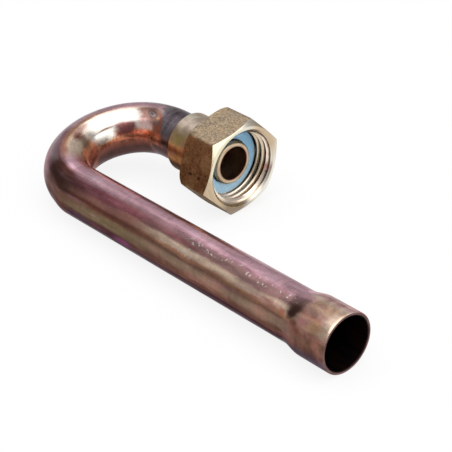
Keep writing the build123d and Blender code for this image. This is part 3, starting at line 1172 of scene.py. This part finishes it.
def threaded_brass():
    """Bright crests, roots that are brown with old sealant, and painted shade in the groove beside
    the washer.
    """
    nodes = Nodes("threaded_brass", roughness=0.24)
    depth = nodes.math("SUBTRACT", nodes.radius, THREAD_MINOR / MM)
    noise = nodes.noise((500, 500, 500), 3)
    ragged = nodes.math("MULTIPLY_ADD", noise, SEALANT_RAGGED, depth)
    share = nodes.math("DIVIDE", ragged, THREAD_DEPTH / MM + SEALANT_RAGGED)
    side = nodes.within(nodes.turn, -45, 85, 25)
    toned = nodes.math("MULTIPLY", nodes.band(nodes.along, 26.6, 25.8, 0.0, 0.7), side)
    crests = nodes.mix(toned, LINEN, CAMEL)
    colour = nodes.mix(nodes.band(share, 0.44, 0.74), crests, nodes.around(GROOVE_ROUND))
    # Painted shade in the groove beside the washer.
    low = nodes.band(nodes.along, 23.8, 23.1)
    shade_by_washer = nodes.math("MULTIPLY", low, nodes.within(nodes.turn, 0, 110, 15))
    colour = nodes.mix(shade_by_washer, colour, RECESS_SHADE)
    nodes.colour(nodes.stain(colour, *THREAD_SPOT))
    return nodes.material


# Pieces

def dress(piece, body, slot, *nodes):
    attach(piece, body)
    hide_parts(*nodes)


dress(
    copper_tube([copper_outside(), copper_lip(), copper_inside()]),
    "bend", "copper", "copper_tube",
)
dress(tail_piece(turned_brass()), "bend", "turned_brass", "tail_piece")
dress(braze_joint(filler()), "bend", "filler_metal", "braze_joint")
dress(sealing_washer(fibre()), "bend", "fibre", "sealing_washer")
dress(
    union_nut([pressed_brass(), machined_brass(), threaded_brass()]),
    "nut", "pressed_brass", "union_nut",
)


# Camera, at the photograph's viewing angle
CAMERA_PLACE = (0.27384, -0.24912, 0.22117)
CAMERA_AZIMUTH = 47.843
CAMERA_ELEVATION = 30.25
CAMERA_SENSOR = 36.0
CAMERA_LENS = 131.37


def direction(azimuth, elevation):
    """Unit vector away from the part, in degrees. Azimuth 0 is over -Y and 90 over +X."""
    azimuth, elevation = math.radians(azimuth), math.radians(elevation)
    return Vector(
        (
            math.sin(azimuth) * math.cos(elevation),
            -math.cos(azimuth) * math.cos(elevation),
            math.sin(elevation),
        )
    )


def looking_back(out):
    """Rotation of a camera or lamp that looks against this direction."""
    return (-out).to_track_quat("-Z", "Y")


def put(name, data, place, rotation):
    item = bpy.data.objects.new(name, data)
    item.location = place
    item.rotation_mode = "QUATERNION"
    item.rotation_quaternion = rotation
    bpy.context.scene.collection.objects.link(item)
    return item


def camera():
    data = bpy.data.cameras.new("camera")
    data.sensor_width = CAMERA_SENSOR
    data.lens = CAMERA_LENS
    rotation = looking_back(direction(CAMERA_AZIMUTH, CAMERA_ELEVATION))
    bpy.context.scene.camera = put("camera", data, CAMERA_PLACE, rotation)


# Floor and light
FLOOR_SIZE = 6.0
FLOOR_COLOUR = (0.9, 0.9, 0.9, 1.0)
WORLD_COLOUR = (1.0, 1.0, 1.0, 1.0)
WORLD_STRENGTH = 0.38
OVERHEAD_PLACE = (0.34, -0.58, 1.8)
OVERHEAD_ROTATION = (1, 0, 0, 0)
OVERHEAD_SIZE = (3.2, 3.0)
OVERHEAD_RADIANCE = 1.6
EAST_AZIMUTH = 102
EAST_ELEVATION = 20
EAST_DISTANCE = 1.8
EAST_SIZE = (1.85, 1.1)
EAST_RADIANCE = 1.3

# The share of plain white in the floor that the camera, mirrors and glass see
FLOOR_WHITE_SHARE = 0.86


def floor_material():
    """A pale floor that looks almost white, and still takes the part's shadow."""
    material = bpy.data.materials.new("white_floor")
    material.use_nodes = True
    tree = material.node_tree
    tree.nodes.clear()
    diffuse = add_node(tree, "ShaderNodeBsdfDiffuse", {"Color": FLOOR_COLOUR})
    white = add_node(tree, "ShaderNodeEmission", {"Strength": 1.0})
    rays = add_node(tree, "ShaderNodeLightPath", {})
    seen = rays["Is Camera Ray"]
    for ray in ("Is Glossy Ray", "Is Transmission Ray"):
        seen = add_node(tree, "ShaderNodeMath", {0: seen, 1: rays[ray]}, operation="MAXIMUM")[0]
    inputs = {0: seen, 1: FLOOR_WHITE_SHARE}
    share = add_node(tree, "ShaderNodeMath", inputs, operation="MULTIPLY")[0]
    mixed = add_node(tree, "ShaderNodeMixShader", {"Fac": share, 1: diffuse[0], 2: white[0]})
    add_node(tree, "ShaderNodeOutputMaterial", {"Surface": mixed[0]})
    return material


def floor():
    mesh = bpy.data.meshes.new("floor")
    half = FLOOR_SIZE / 2
    corners = [(-half, -half, 0), (half, -half, 0), (half, half, 0), (-half, half, 0)]
    mesh.from_pydata(corners, [], [(0, 1, 2, 3)])
    mesh.materials.append(floor_material())
    item = bpy.data.objects.new("floor", mesh)
    bpy.context.scene.collection.objects.link(item)


def lamp(name, size, radiance, place, rotation):
    """Rectangular soft box, whose power follows from its size and radiance."""
    data = bpy.data.lights.new(name, "AREA")
    data.shape = "RECTANGLE"
    data.size, data.size_y = size
    data.energy = radiance * math.pi * size[0] * size[1]
    put(name, data, place, rotation)


def world():
    item = bpy.data.worlds.new("studio")
    bpy.context.scene.world = item
    item.use_nodes = True
    back = item.node_tree.nodes["Background"]
    back.inputs["Color"].default_value = WORLD_COLOUR
    back.inputs["Strength"].default_value = WORLD_STRENGTH


camera()
floor()
world()
lamp("overhead_box", OVERHEAD_SIZE, OVERHEAD_RADIANCE, OVERHEAD_PLACE, OVERHEAD_ROTATION)
east = direction(EAST_AZIMUTH, EAST_ELEVATION)
lamp("east_box", EAST_SIZE, EAST_RADIANCE, east * EAST_DISTANCE, looking_back(east))
bpy.context.scene.view_settings.view_transform = "Standard"
